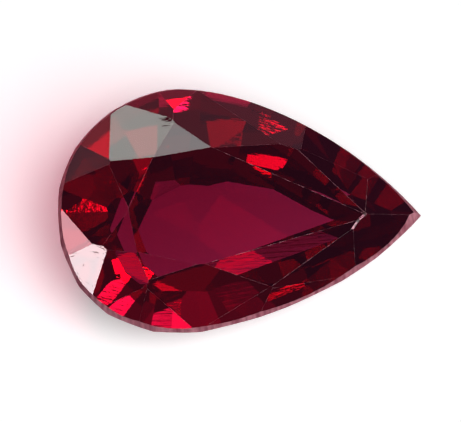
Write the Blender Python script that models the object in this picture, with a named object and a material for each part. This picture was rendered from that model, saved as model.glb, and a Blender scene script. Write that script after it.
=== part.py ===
"""A loose pear-cut ruby, 9 mm long, lying on one of the facets of its underside.

The stone is cut the way a lapidary cuts it. A pear-shaped preform with a slightly flared wall is
ground flat, one facet after another: the table, the crown above the girdle, and the pavilion below
it. The cutting frame has its origin at the belly centre in the plane of the girdle's upper edge,
+X to the tip and +Z out of the table. The finished stone is then laid on its resting facet.
"""
import math

import bmesh
import bpy
from mathutils import Quaternion, Vector

MM = 0.001
UP = Vector((0.0, 0.0, 1.0))

# Outline of the girdle's lower edge, in mm from the belly centre
HEAD_LENGTH = 3.12
TIP_LENGTH = 5.94
HALF_WIDTH = 3.10
OUTLINE_STEPS = 20

# Handles of the outline curve, as fractions of the lengths above: along X, then along Y. The
# stone isn't quite symmetric, and its head bulges more on the -Y side.
HEAD_HANDLES = {1: (0.44, 0.61), -1: (0.81, 0.42)}
TIP_HANDLES = {1: (0.78, 0.52), -1: (0.78, 0.64)}
BELLY_HANDLES = {1: 0.34, -1: 0.18}

# Heights from the girdle's upper edge, in mm
CROWN_HEIGHT = 0.84
GIRDLE_THICKNESS = 0.25
PREFORM_TOP = 1.2
PREFORM_BOTTOM = -4.0

# The wall is narrower at the girdle's upper edge than at its lower edge by this fraction
GIRDLE_FLARE = 0.025

# Crown facets down to the girdle: azimuth from the tip, slope, and how far from the belly centre
# the facet's plane meets the plane of the girdle's upper edge; in degrees and mm
BEZELS = (
    (124, 28.0, 2.97),
    (177, 27.5, 3.03),
    (-135, 31.5, 3.145),
    (-84, 30.5, 3.01),
    (-62.5, 42.0, 3.29),
    (-48, 45.5, 3.97),
    (46, 37.5, 4.03),
    (57, 34.5, 3.465),
    (77, 29.5, 2.98),
)
UPPER_HALVES = (
    (156, 33.5, 2.98),
    (137, 33.5, 2.94),
    (112, 32.5, 2.96),
    (93, 36.0, 2.97),
    (70, 39.0, 2.93),
    (59, 40.0, 3.29),
    (-65, 47.0, 3.17),
    (-75, 42.0, 3.01),
    (-94, 36.5, 2.98),
    (-116, 37.0, 3.10),
    (-149, 36.0, 3.06),
    (-170, 36.0, 3.005),
)

# Star facets round the table: their reach is measured in the plane of the table
STARS = (
    (155, 17.0, 1.22),
    (101, 17.0, 1.25),
    (67, 21.0, 1.53),
    (-73, 22.0, 1.61),
    (-101, 14.0, 1.48),
    (-168, 21.0, 1.45),
)

# The pavilion's two rows of step facets, from the girdle down: slopes in degrees on the +Y and the
# -Y side, depth in mm, how far the row is turned, and its azimuths on the +Y side, which the -Y
# side repeats. Each row starts where the one above it ends, as an average of its two sides.
PAVILION_ROWS = (
    ((48.5, 61.5), 0.67, 1.5, (180, 157.5, 135, 112.5, 90, 76, 65, 57, 50)),
    ((49.5, 45.0), 1.03, -8.5, (165, 135, 105, 76, 60)),
)
FIRST_ROW_BITE = 0.01

# The keel's five flat facets: azimuth and slope
KEEL = (
    (174.5, 37.5),
    (121.5, 37.5),
    (56.5, 33.0),
    (-132.5, 37.5),
    (-67.5, 20.0),
)

# Everything below the first row is cut a little off centre, in mm
OFF_CENTRE = Vector((-0.12, 0.14, 0.0))

# The stone rests on the last facet of the keel
RESTING_FACET = KEEL[-1]

RUBY_COLOUR = (0.42, 0.01, 0.06, 1.0)
RUBY_ROUGHNESS = 0.04
RUBY_IOR = 1.765


def direction(azimuth):
    angle = math.radians(azimuth)
    return Vector((math.cos(angle), math.sin(angle), 0.0))


def facet_normal(azimuth, slope, side):
    """Outward normal of a facet; side is 1 on the crown and -1 on the pavilion."""
    angle = math.radians(slope)
    return direction(azimuth) * math.sin(angle) + UP * side * math.cos(angle)


def outline_curve():
    """The pear outline as a closed curve through the head, the belly, the tip and the belly."""
    head, tip, half = HEAD_LENGTH, TIP_LENGTH, HALF_WIDTH
    knots = (
        # the point, the handle before it and the handle after it
        ((-head, 0), (-head, -half * HEAD_HANDLES[-1][1]), (-head, half * HEAD_HANDLES[1][1])),
        ((0, half), (-head * HEAD_HANDLES[1][0], half), (tip * BELLY_HANDLES[1], half)),
        ((tip, 0),
         (tip * TIP_HANDLES[1][0], half * TIP_HANDLES[1][1]),
         (tip * TIP_HANDLES[-1][0], -half * TIP_HANDLES[-1][1])),
        ((0, -half), (tip * BELLY_HANDLES[-1], -half), (-head * HEAD_HANDLES[-1][0], -half)),
    )
    curve = bpy.data.curves.new("outline", "CURVE")
    curve.dimensions = "2D"
    curve.fill_mode = "BOTH"
    curve.extrude = (PREFORM_TOP - PREFORM_BOTTOM) / 2
    curve.resolution_u = OUTLINE_STEPS
    spline = curve.splines.new("BEZIER")
    spline.bezier_points.add(len(knots) - 1)
    for knot, (place, before, after) in zip(spline.bezier_points, knots):
        knot.handle_left_type = "FREE"
        knot.handle_right_type = "FREE"
        knot.co = (*place, 0)
        knot.handle_left = (*before, 0)
        knot.handle_right = (*after, 0)
    spline.use_cyclic_u = True
    return curve


def preform():
    """The outline drawn out to a block, in mm, and the points of the outline."""
    guide = bpy.data.objects.new("outline", outline_curve())
    bpy.context.scene.collection.objects.link(guide)
    mesh = bpy.data.meshes.new_from_object(guide.evaluated_get(bpy.context.evaluated_depsgraph_get()))
    block = bmesh.new()
    block.from_mesh(mesh)
    bpy.data.curves.remove(guide.data)
    bpy.data.meshes.remove(mesh)
    bmesh.ops.remove_doubles(block, verts=block.verts, dist=1e-4)
    bmesh.ops.recalc_face_normals(block, faces=block.faces)
    outline = [Vector((vert.co.x, vert.co.y, 0)) for vert in block.verts]
    bmesh.ops.translate(block, verts=block.verts, vec=UP * (PREFORM_TOP + PREFORM_BOTTOM) / 2)
    return block, outline


def flare_wall(block):
    """Widen the block downwards, to its outline's full size at the girdle's lower edge."""
    for vert in block.verts:
        above_lower_edge = (vert.co.z + GIRDLE_THICKNESS) / GIRDLE_THICKNESS
        width = 1 - GIRDLE_FLARE * above_lower_edge
        vert.co.x *= width
        vert.co.y *= width


def grind(stone, azimuth, slope, reach, height, side):
    """Cut one flat facet, whose plane lies at reach from the centre axis at the given height."""
    cut = bmesh.ops.bisect_plane(
        stone,
        geom=stone.verts[:] + stone.edges[:] + stone.faces[:],
        plane_co=direction(azimuth) * reach + UP * height,
        plane_no=facet_normal(azimuth, slope, side),
        clear_outer=True,
    )
    edges = [item for item in cut["geom_cut"] if isinstance(item, bmesh.types.BMEdge)]
    bmesh.ops.contextual_create(stone, geom=edges)


def both_sides(azimuths, slopes):
    """The azimuths of a row with their slopes: first the +Y side and the head, then the -Y side."""
    near = [(azimuth, slopes[0]) for azimuth in azimuths]
    far = [(-azimuth, slopes[1]) for azimuth in azimuths if azimuth != 180]
    return near + far


def cut_crown(stone):
    grind(stone, 0, 0, 0, CROWN_HEIGHT, 1)
    for azimuth, slope, reach in BEZELS + UPPER_HALVES:
        grind(stone, azimuth, slope, reach, 0, 1)
    for azimuth, slope, reach in STARS:
        grind(stone, azimuth, slope, reach, CROWN_HEIGHT, 1)


def grind_below(stone, outline, azimuth, slope, inset, height, shift):
    """Cut a pavilion facet, inset from the outline at the given height, and moved by shift."""
    way = direction(azimuth)
    reach = max(point.dot(way) for point in outline) - inset + shift.dot(way)
    grind(stone, azimuth, slope, reach, height, -1)


def cut_pavilion(stone, outline):
    height = -GIRDLE_THICKNESS
    inset = FIRST_ROW_BITE
    shift = Vector()
    for slopes, depth, turn, azimuths in PAVILION_ROWS:
        for azimuth, slope in both_sides(azimuths, slopes):
            grind_below(stone, outline, azimuth + turn, slope, inset, height, shift)
        height -= depth
        inset += depth / math.tan(math.radians(sum(slopes) / 2))
        shift = OFF_CENTRE
    for azimuth, slope in KEEL:
        grind_below(stone, outline, azimuth, slope, inset, height, shift)


def ruby_material():
    material = bpy.data.materials.new("ruby")
    material.use_nodes = True
    shader = material.node_tree.nodes["Principled BSDF"]
    shader.inputs["Base Color"].default_value = RUBY_COLOUR
    shader.inputs["Roughness"].default_value = RUBY_ROUGHNESS
    shader.inputs["Metallic"].default_value = 0.0
    shader.inputs["IOR"].default_value = RUBY_IOR
    shader.inputs["Transmission Weight"].default_value = 1.0
    return material


def lay_down(ruby):
    """Turn the stone onto its resting facet, long axis along X, its box centred on the origin."""
    tilt = facet_normal(*RESTING_FACET, -1).rotation_difference(-UP)
    length = tilt @ Vector((1, 0, 0))
    turn = Quaternion(UP, -math.atan2(length.y, length.x))
    ruby.rotation_mode = "QUATERNION"
    ruby.rotation_quaternion = turn @ tilt
    corners = [ruby.rotation_quaternion @ vert.co for vert in ruby.data.vertices]
    low = [min(corner[axis] for corner in corners) for axis in range(3)]
    high = [max(corner[axis] for corner in corners) for axis in range(3)]
    ruby.location = (-(low[0] + high[0]) / 2, -(low[1] + high[1]) / 2, -low[2])


def build():
    for item in list(bpy.data.objects):
        bpy.data.objects.remove(item)
    collection = bpy.data.collections.new("pear_cut_ruby")
    bpy.context.scene.collection.children.link(collection)
    stone, outline = preform()
    flare_wall(stone)
    cut_crown(stone)
    cut_pavilion(stone, outline)
    bmesh.ops.recalc_face_normals(stone, faces=stone.faces)
    bmesh.ops.scale(stone, verts=stone.verts, vec=(MM, MM, MM))
    mesh = bpy.data.meshes.new("ruby")
    stone.to_mesh(mesh)
    stone.free()
    ruby = bpy.data.objects.new("ruby", mesh)
    ruby.data.materials.append(ruby_material())
    collection.objects.link(ruby)
    lay_down(ruby)


build()
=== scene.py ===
import math

import bmesh
import bpy
from mathutils import Matrix, Vector


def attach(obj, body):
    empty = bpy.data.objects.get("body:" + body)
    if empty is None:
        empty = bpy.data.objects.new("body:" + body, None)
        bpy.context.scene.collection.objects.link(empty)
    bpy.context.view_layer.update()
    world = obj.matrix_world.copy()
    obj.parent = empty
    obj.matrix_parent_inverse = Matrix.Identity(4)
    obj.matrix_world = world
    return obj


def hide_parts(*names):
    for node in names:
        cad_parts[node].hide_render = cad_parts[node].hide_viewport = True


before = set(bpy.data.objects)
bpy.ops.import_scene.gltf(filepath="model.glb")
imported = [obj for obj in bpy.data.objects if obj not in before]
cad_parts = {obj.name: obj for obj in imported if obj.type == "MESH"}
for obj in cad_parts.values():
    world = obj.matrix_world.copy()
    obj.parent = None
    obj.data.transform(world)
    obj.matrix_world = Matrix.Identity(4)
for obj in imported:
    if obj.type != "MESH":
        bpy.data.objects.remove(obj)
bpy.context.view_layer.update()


# CAMERA
# A long lens looks down on the stone's table, from 60 degrees above the floor. The stone almost
# fills the frame from side to side, and the camera is rolled by 5 degrees.
MM = 0.001
LENS = 300.0
SENSOR_WIDTH = 36.0
FRAME_WIDTH = 11.48
LOOK_AT = Vector((-0.232, -0.165, 2.303))
TO_CAMERA = Vector((0.0235, -0.4924, 0.8701)).normalized()
CAMERA_UP = Vector((0.0471, 0.8699, 0.4910))
NEAREST = 1.0
FARTHEST = 10000.0

camera = bpy.data.cameras.new("camera")
camera.lens = LENS
camera.sensor_width = SENSOR_WIDTH
camera.sensor_fit = "HORIZONTAL"
camera.clip_start = NEAREST * MM
camera.clip_end = FARTHEST * MM
right = CAMERA_UP.cross(TO_CAMERA).normalized()
up = TO_CAMERA.cross(right)
distance = FRAME_WIDTH * LENS / SENSOR_WIDTH
eye = bpy.data.objects.new("camera", camera)
bpy.context.scene.collection.objects.link(eye)
turn = Matrix((right, up, TO_CAMERA)).transposed().to_4x4()
eye.matrix_world = Matrix.Translation((LOOK_AT + TO_CAMERA * distance) * MM) @ turn
bpy.context.scene.camera = eye
bpy.context.scene.view_settings.view_transform = "Standard"


# CUT RUBY
# One crystal of corundum, sawn and ground to a pear and then polished flat, facet by facet. Its
# girdle is left as it was ground, with fine upright striations. Nothing holds or mounts it. The
# lengths are in mm and the angles in degrees.
SHORTEST_EDGE = 0.012
FACET_ANGLE = 0.2
CROWN_AND_GIRDLE = 1.09
LIP = 0.02
TABLE_NORMAL = Vector((0.1241, -0.3187, 0.9397))
TABLE_LEAN = TABLE_NORMAL.angle(Vector((0, 0, 1)))
# How far a flat of the girdle may lean out of the table's direction, as a cosine
GIRDLE_LEAN = (-0.1, 0.6)

# The widest wear, and the share of it that each kind of edge has
WORN_EDGE = 0.03
CROWN_WEAR = 0.025
TIP_WEAR = 0.12
LIP_WEAR = 0.35
CHIPPED_WEAR = 1.0
# How far from its tip the table's edges are chipped, along X, and all edges are rubbed
CHIPPED = 0.5
RUBBED = 1.3
# The chipped edges slant, so they are a little longer than their length along X
SLANT = 1.05

CORUNDUM_IOR = 1.765
BODY_COLOUR = (0.84, 0.10, 0.50, 1)
BODY_DENSITY = 1500.0

# The size of one mark along X, Y and Z, before it is turned, and its depth
LAP_MARK = (2.0, 1 / 9, 1 / 9)
LAP_TURN = -35
LAP_DEPTH = 0.0006
STRIATION = (1 / 9, 1 / 9, 2.5)
STRIATION_DEPTH = 0.006
STRIATION_DARK = (0.35, "9a3a52")
STRIATION_PALE = (0.65, "dc8a9a")
CHIP_SIZE = 1 / 7
# The noise's values between which worn corundum goes from clear to frosted
CLEAR_BELOW = 0.47
FROSTED_ABOVE = 0.58


def linear(code):
    """An sRGB hex colour as linear RGBA."""
    parts = [int(code[place:place + 2], 16) / 255 for place in (0, 2, 4)]
    parts = [part / 12.92 if part <= 0.04045 else ((part + 0.055) / 1.055) ** 2.4 for part in parts]
    return parts + [1.0]


def per_metre(sizes):
    """The pattern scales for marks of these sizes in mm."""
    return [1 / (size * MM) for size in sizes]


def add_node(tree, kind, sockets=None, links=None):
    """Add a node, set its socket values, and link sockets from other nodes."""
    node = tree.nodes.new(kind)
    for name, value in (sockets or {}).items():
        node.inputs[name].default_value = value
    for name, source in (links or {}).items():
        tree.links.new(source, node.inputs[name])
    return node


def corundum(name, clear, colour, roughness):
    """Red corundum: clear is how much of the surface lets light through, and colour is what the rest
    of it scatters back, unless a pattern drives them. The red lies in the body of the crystal."""
    material = bpy.data.materials.new(name)
    material.use_nodes = True
    tree = material.node_tree
    shader = tree.nodes["Principled BSDF"]
    shader.inputs["Base Color"].default_value = colour
    shader.inputs["Roughness"].default_value = roughness
    shader.inputs["IOR"].default_value = CORUNDUM_IOR
    shader.inputs["Transmission Weight"].default_value = clear
    body = add_node(tree, "ShaderNodeVolumeAbsorption",
                    sockets={"Color": BODY_COLOUR, "Density": BODY_DENSITY})
    tree.links.new(body.outputs["Volume"], tree.nodes["Material Output"].inputs["Volume"])
    return material, shader


# Corundum polished on a lap: hard flat mirrors, clear enough to see the far facets through. The
# lap's marks are really too fine to see, and are drawn coarse enough to streak a reflection.
polished, polished_shader = corundum("polished_corundum", clear=1.0, colour=linear("ffffff"), roughness=0.0)
tree = polished.node_tree
place = add_node(tree, "ShaderNodeTexCoord")
across = add_node(tree, "ShaderNodeMapping",
                  sockets={"Rotation": (0, 0, math.radians(LAP_TURN)), "Scale": per_metre(LAP_MARK)},
                  links={"Vector": place.outputs["Object"]})
lap = add_node(tree, "ShaderNodeTexNoise", sockets={"Scale": 1.0, "Detail": 2.0},
               links={"Vector": across.outputs["Vector"]})
marks = add_node(tree, "ShaderNodeBump", sockets={"Strength": 1.0, "Distance": LAP_DEPTH * MM},
                 links={"Height": lap.outputs["Fac"]})
tree.links.new(marks.outputs["Normal"], polished_shader.inputs["Normal"])

# Corundum ground on a wheel: a frosted band, paler and pinker than the body, because its scratches
# scatter the light. The upright striations are drawn coarser than the wheel's grit, to show.
ground, ground_shader = corundum("ground_corundum", clear=0.4, colour=linear("d8788a"), roughness=0.5)
tree = ground.node_tree
place = add_node(tree, "ShaderNodeTexCoord")
around = add_node(tree, "ShaderNodeMapping",
                  sockets={"Rotation": (-TABLE_LEAN, 0, 0), "Scale": per_metre(STRIATION)},
                  links={"Vector": place.outputs["Object"]})
grit = add_node(tree, "ShaderNodeTexNoise", sockets={"Scale": 1.0, "Detail": 3.0},
                links={"Vector": around.outputs["Vector"]})
tint = add_node(tree, "ShaderNodeValToRGB", links={"Fac": grit.outputs["Fac"]})
for stop, (position, colour) in zip(tint.color_ramp.elements, (STRIATION_DARK, STRIATION_PALE)):
    stop.position = position
    stop.color = linear(colour)
tree.links.new(tint.outputs["Color"], ground_shader.inputs["Base Color"])
scratches = add_node(tree, "ShaderNodeBump", sockets={"Strength": 1.0, "Distance": STRIATION_DEPTH * MM},
                     links={"Height": grit.outputs["Fac"]})
tree.links.new(scratches.outputs["Normal"], ground_shader.inputs["Normal"])

# Corundum worn by other stones: an edge breaks off in tiny chips, which look like a pale dotted
# line, because frosted spots come between spots that are still clear.
worn, worn_shader = corundum("worn_corundum", clear=0.7, colour=linear("c88898"), roughness=0.5)
tree = worn.node_tree
place = add_node(tree, "ShaderNodeTexCoord")
chips = add_node(tree, "ShaderNodeTexNoise", sockets={"Scale": 1 / (CHIP_SIZE * MM), "Detail": 2.0},
                 links={"Vector": place.outputs["Object"]})
clear_range = {"From Min": CLEAR_BELOW, "From Max": FROSTED_ABOVE, "To Min": 1.0, "To Max": 0.0}
clear_spots = add_node(tree, "ShaderNodeMapRange", sockets=clear_range,
                       links={"Value": chips.outputs["Fac"]})
tree.links.new(clear_spots.outputs["Result"], worn_shader.inputs["Transmission Weight"])

bpy.ops.object.select_all(action="DESELECT")
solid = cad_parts["ruby"]
stone = bpy.data.objects.new("cut_ruby", solid.data.copy())
bpy.context.scene.collection.objects.link(stone)
stone.select_set(True)
bpy.context.view_layer.objects.active = stone
stone.data.materials.clear()
finishes = (polished, ground, worn)
for finish in finishes:
    stone.data.materials.append(finish)

# The solid's loose triangles are merged to whole facets
facets = bmesh.new()
facets.from_mesh(stone.data)
bmesh.ops.remove_doubles(facets, verts=facets.verts, dist=SHORTEST_EDGE * MM)
bmesh.ops.dissolve_limit(facets, angle_limit=math.radians(FACET_ANGLE), verts=facets.verts,
                         edges=facets.edges)
top = max(corner.co.dot(TABLE_NORMAL) for corner in facets.verts)
girdle_foot = top - CROWN_AND_GIRDLE * MM
corners = [corner.co.copy() for corner in facets.verts]
on_table = [corner for corner in corners if corner.dot(TABLE_NORMAL) > top - LIP * MM]
table_tip = max(on_table, key=lambda corner: corner.x)

# The table's two edges are cut here, so that only their ends by the tip are chipped
bmesh.ops.bisect_plane(facets, geom=facets.verts[:] + facets.edges[:] + facets.faces[:],
                       plane_co=table_tip - Vector((CHIPPED * MM, 0, 0)), plane_no=(1, 0, 0))
wear = facets.edges.layers.float.new("bevel_weight_edge")
for edge in facets.edges:
    ends = [corner.co for corner in edge.verts]
    low = min(end.dot(TABLE_NORMAL) for end in ends)
    high = max(end.dot(TABLE_NORMAL) for end in ends)
    from_tip = max((end - table_tip).length for end in ends)
    # Edges under the girdle stay sharp, and so does a cut across a facet, which is no edge
    if low < girdle_foot - LIP * MM or edge.calc_face_angle(0) < math.radians(FACET_ANGLE):
        continue
    if high < girdle_foot + LIP * MM:
        edge[wear] = LIP_WEAR
    elif from_tip < SLANT * CHIPPED * MM:
        edge[wear] = CHIPPED_WEAR
    elif from_tip < RUBBED * MM:
        edge[wear] = TIP_WEAR
    else:
        edge[wear] = CROWN_WEAR
for facet in facets.faces:
    facet.smooth = False
    on_girdle = GIRDLE_LEAN[0] < facet.normal.dot(TABLE_NORMAL) < GIRDLE_LEAN[1]
    facet.material_index = finishes.index(ground if on_girdle else polished)
facets.to_mesh(stone.data)
facets.free()
bpy.ops.mesh.customdata_custom_splitnormals_clear()

edges = stone.modifiers.new("worn edges", "BEVEL")
edges.width = WORN_EDGE * MM
edges.segments = 1
edges.limit_method = "WEIGHT"
edges.use_clamp_overlap = False
edges.material = finishes.index(worn)
bpy.ops.object.modifier_apply(modifier=edges.name)
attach(stone, "root")
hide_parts("ruby")


# FLOOR
# A sheet of white card that the stone lies on, wide enough for every view. It is matt, and it
# glows a little, which lights the middle of the stone from below.
FLOOR_SIZE = 4000.0
FLOOR_DROP = 0.02
CARD_WHITE = 0.9
CARD_ROUGHNESS = 0.9
CARD_GLOW = 0.25

bpy.ops.object.select_all(action="DESELECT")
bpy.ops.mesh.primitive_plane_add(size=FLOOR_SIZE * MM, location=(0, 0, -FLOOR_DROP * MM))
floor = bpy.context.object
floor.name = "floor"
card = bpy.data.materials.new("white_card")
card.use_nodes = True
card_shader = card.node_tree.nodes["Principled BSDF"]
card_shader.inputs["Base Color"].default_value = (CARD_WHITE, CARD_WHITE, CARD_WHITE, 1)
card_shader.inputs["Roughness"].default_value = CARD_ROUGHNESS
card_shader.inputs["Specular IOR Level"].default_value = 0.0
card_shader.inputs["Emission Color"].default_value = (1, 1, 1, 1)
card_shader.inputs["Emission Strength"].default_value = CARD_GLOW
floor.data.materials.append(card)
# The stone's lower facets mirror the dim room, not the card
floor.visible_glossy = False


# STUDIO LIGHT
# Soft boxes stand round a dim room: each is given by its place in the sky, its size as seen from
# the stone, and its brightness. Only the stone sees them and the room. The card is lit by two
# suns, and by a red spot at its left for the light that the stone throws there.
ROOM = (0.20, 0.03, 0.08, 1)
LIGHT_DISTANCE = 600.0
SOFT_BOXES = {
    # azimuth, elevation, width and height in degrees, radiance, colour
    "back box": (117.5, 49, 8.7, 14, 3.2, "f4fff8"),
    "back box right": (104.5, 50, 8.7, 12, 1.9, "f4fff8"),
    "top box": (76, 64, 14, 12, 2.4, "ffffff"),
    "left box": (-148.8, 23.9, 1.1, 1.1, 11.0, "ffecf0"),
    "left fill": (-124, 22, 12, 9, 1.2, "ffffff"),
    "left low": (-144, 7.5, 7, 7, 7.0, "ffffff"),
    "left strip": (-171, 32, 8, 9, 8.0, "ffb8c2"),
    "right box": (25, 14, 12, 12, 9.0, "ffd8b8"),
    "right fill": (-2, 42, 24, 24, 0.8, "ffffff"),
    "right low": (-35, 6, 14, 12, 34.0, "ffffff"),
    "right middle": (-2, 13, 16, 7, 4.5, "ffffff"),
    "front strip": (-95, 36.5, 8, 7, 13.0, "ffffff"),
    "front low": (-96.5, 5.5, 7, 5, 13.0, "ffffff"),
    "front fill": (-45, 20, 14, 30, 1.2, "ffffff"),
    "behind": (84, 26, 44, 30, 0.26, "ffb0c4"),
    "behind far left": (141, 41, 36, 9, 0.35, "ffc8d8"),
    "behind right": (78, 36, 10, 10, 3.5, "ffffff"),
    "behind low": (86, 12, 8, 8, 3.5, "ffd8d0"),
    "behind low right": (68.2, 15.9, 4.2, 4.2, 2.5, "ffd8d0"),
    "right back low": (47, 6, 12, 6.5, 5.0, "ffe0d0"),
    "behind left": (118.5, 25.3, 3.4, 2.2, 4.0, "ffffff"),
}
FLOOR_LIGHTS = {
    # azimuth, elevation and width in degrees, strength
    "front sun": (-87, 54, 12, 0.38),
    "side sun": (-45, 52, 42, 3.03),
}
GLOW_COLOUR = (1.0, 0.03, 0.2)
GLOW_WATTS = 0.0019
GLOW_SPREAD = 60
GLOW_RADIUS = 2.0
GLOW_FROM = Vector((-6.0, 3.0, 12.0))
GLOW_ON = Vector((-4.5, 1.5, 0.0))


def stand(name, lamp):
    """Put a lamp in the scene."""
    light = bpy.data.objects.new(name, lamp)
    bpy.context.scene.collection.objects.link(light)
    return light


def toward(azimuth, elevation):
    """The direction to a place in the sky."""
    flat = math.cos(math.radians(elevation))
    return Vector((
        flat * math.cos(math.radians(azimuth)),
        flat * math.sin(math.radians(azimuth)),
        math.sin(math.radians(elevation)),
    ))


def across_at_distance(degrees):
    """The width in metres that looks so many degrees wide from the stone."""
    return 2 * LIGHT_DISTANCE * math.tan(math.radians(degrees / 2)) * MM


world = bpy.data.worlds.new("room")
world.use_nodes = True
world.node_tree.nodes["Background"].inputs["Color"].default_value = ROOM
bpy.context.scene.world = world
world.cycles_visibility.diffuse = False

for name, (azimuth, elevation, wide, high, radiance, colour) in SOFT_BOXES.items():
    lamp = bpy.data.lights.new(name, "AREA")
    lamp.shape = "RECTANGLE"
    lamp.size = across_at_distance(wide)
    lamp.size_y = across_at_distance(high)
    lamp.color = linear(colour)[:3]
    # A one-sided area light of W watts gives a radiance of W / (pi * area)
    lamp.energy = radiance * math.pi * lamp.size * lamp.size_y
    box = stand(name, lamp)
    away = toward(azimuth, elevation)
    box.location = away * LIGHT_DISTANCE * MM
    box.rotation_euler = away.to_track_quat("Z", "Y").to_euler()
    box.visible_diffuse = False

for name, (azimuth, elevation, width, energy) in FLOOR_LIGHTS.items():
    lamp = bpy.data.lights.new(name, "SUN")
    lamp.energy = energy
    lamp.angle = math.radians(width)
    sun = stand(name, lamp)
    sun.rotation_euler = toward(azimuth, elevation).to_track_quat("Z", "Y").to_euler()
    sun.visible_glossy = False
    sun.visible_transmission = False

lamp = bpy.data.lights.new("red glow", "SPOT")
lamp.color = GLOW_COLOUR
lamp.energy = GLOW_WATTS
lamp.spot_size = math.radians(GLOW_SPREAD)
lamp.spot_blend = 1.0
lamp.shadow_soft_size = GLOW_RADIUS * MM
glow = stand("red glow", lamp)
glow.location = GLOW_FROM * MM
glow.rotation_euler = (GLOW_FROM - GLOW_ON).to_track_quat("Z", "Y").to_euler()
glow.visible_glossy = False
glow.visible_transmission = False
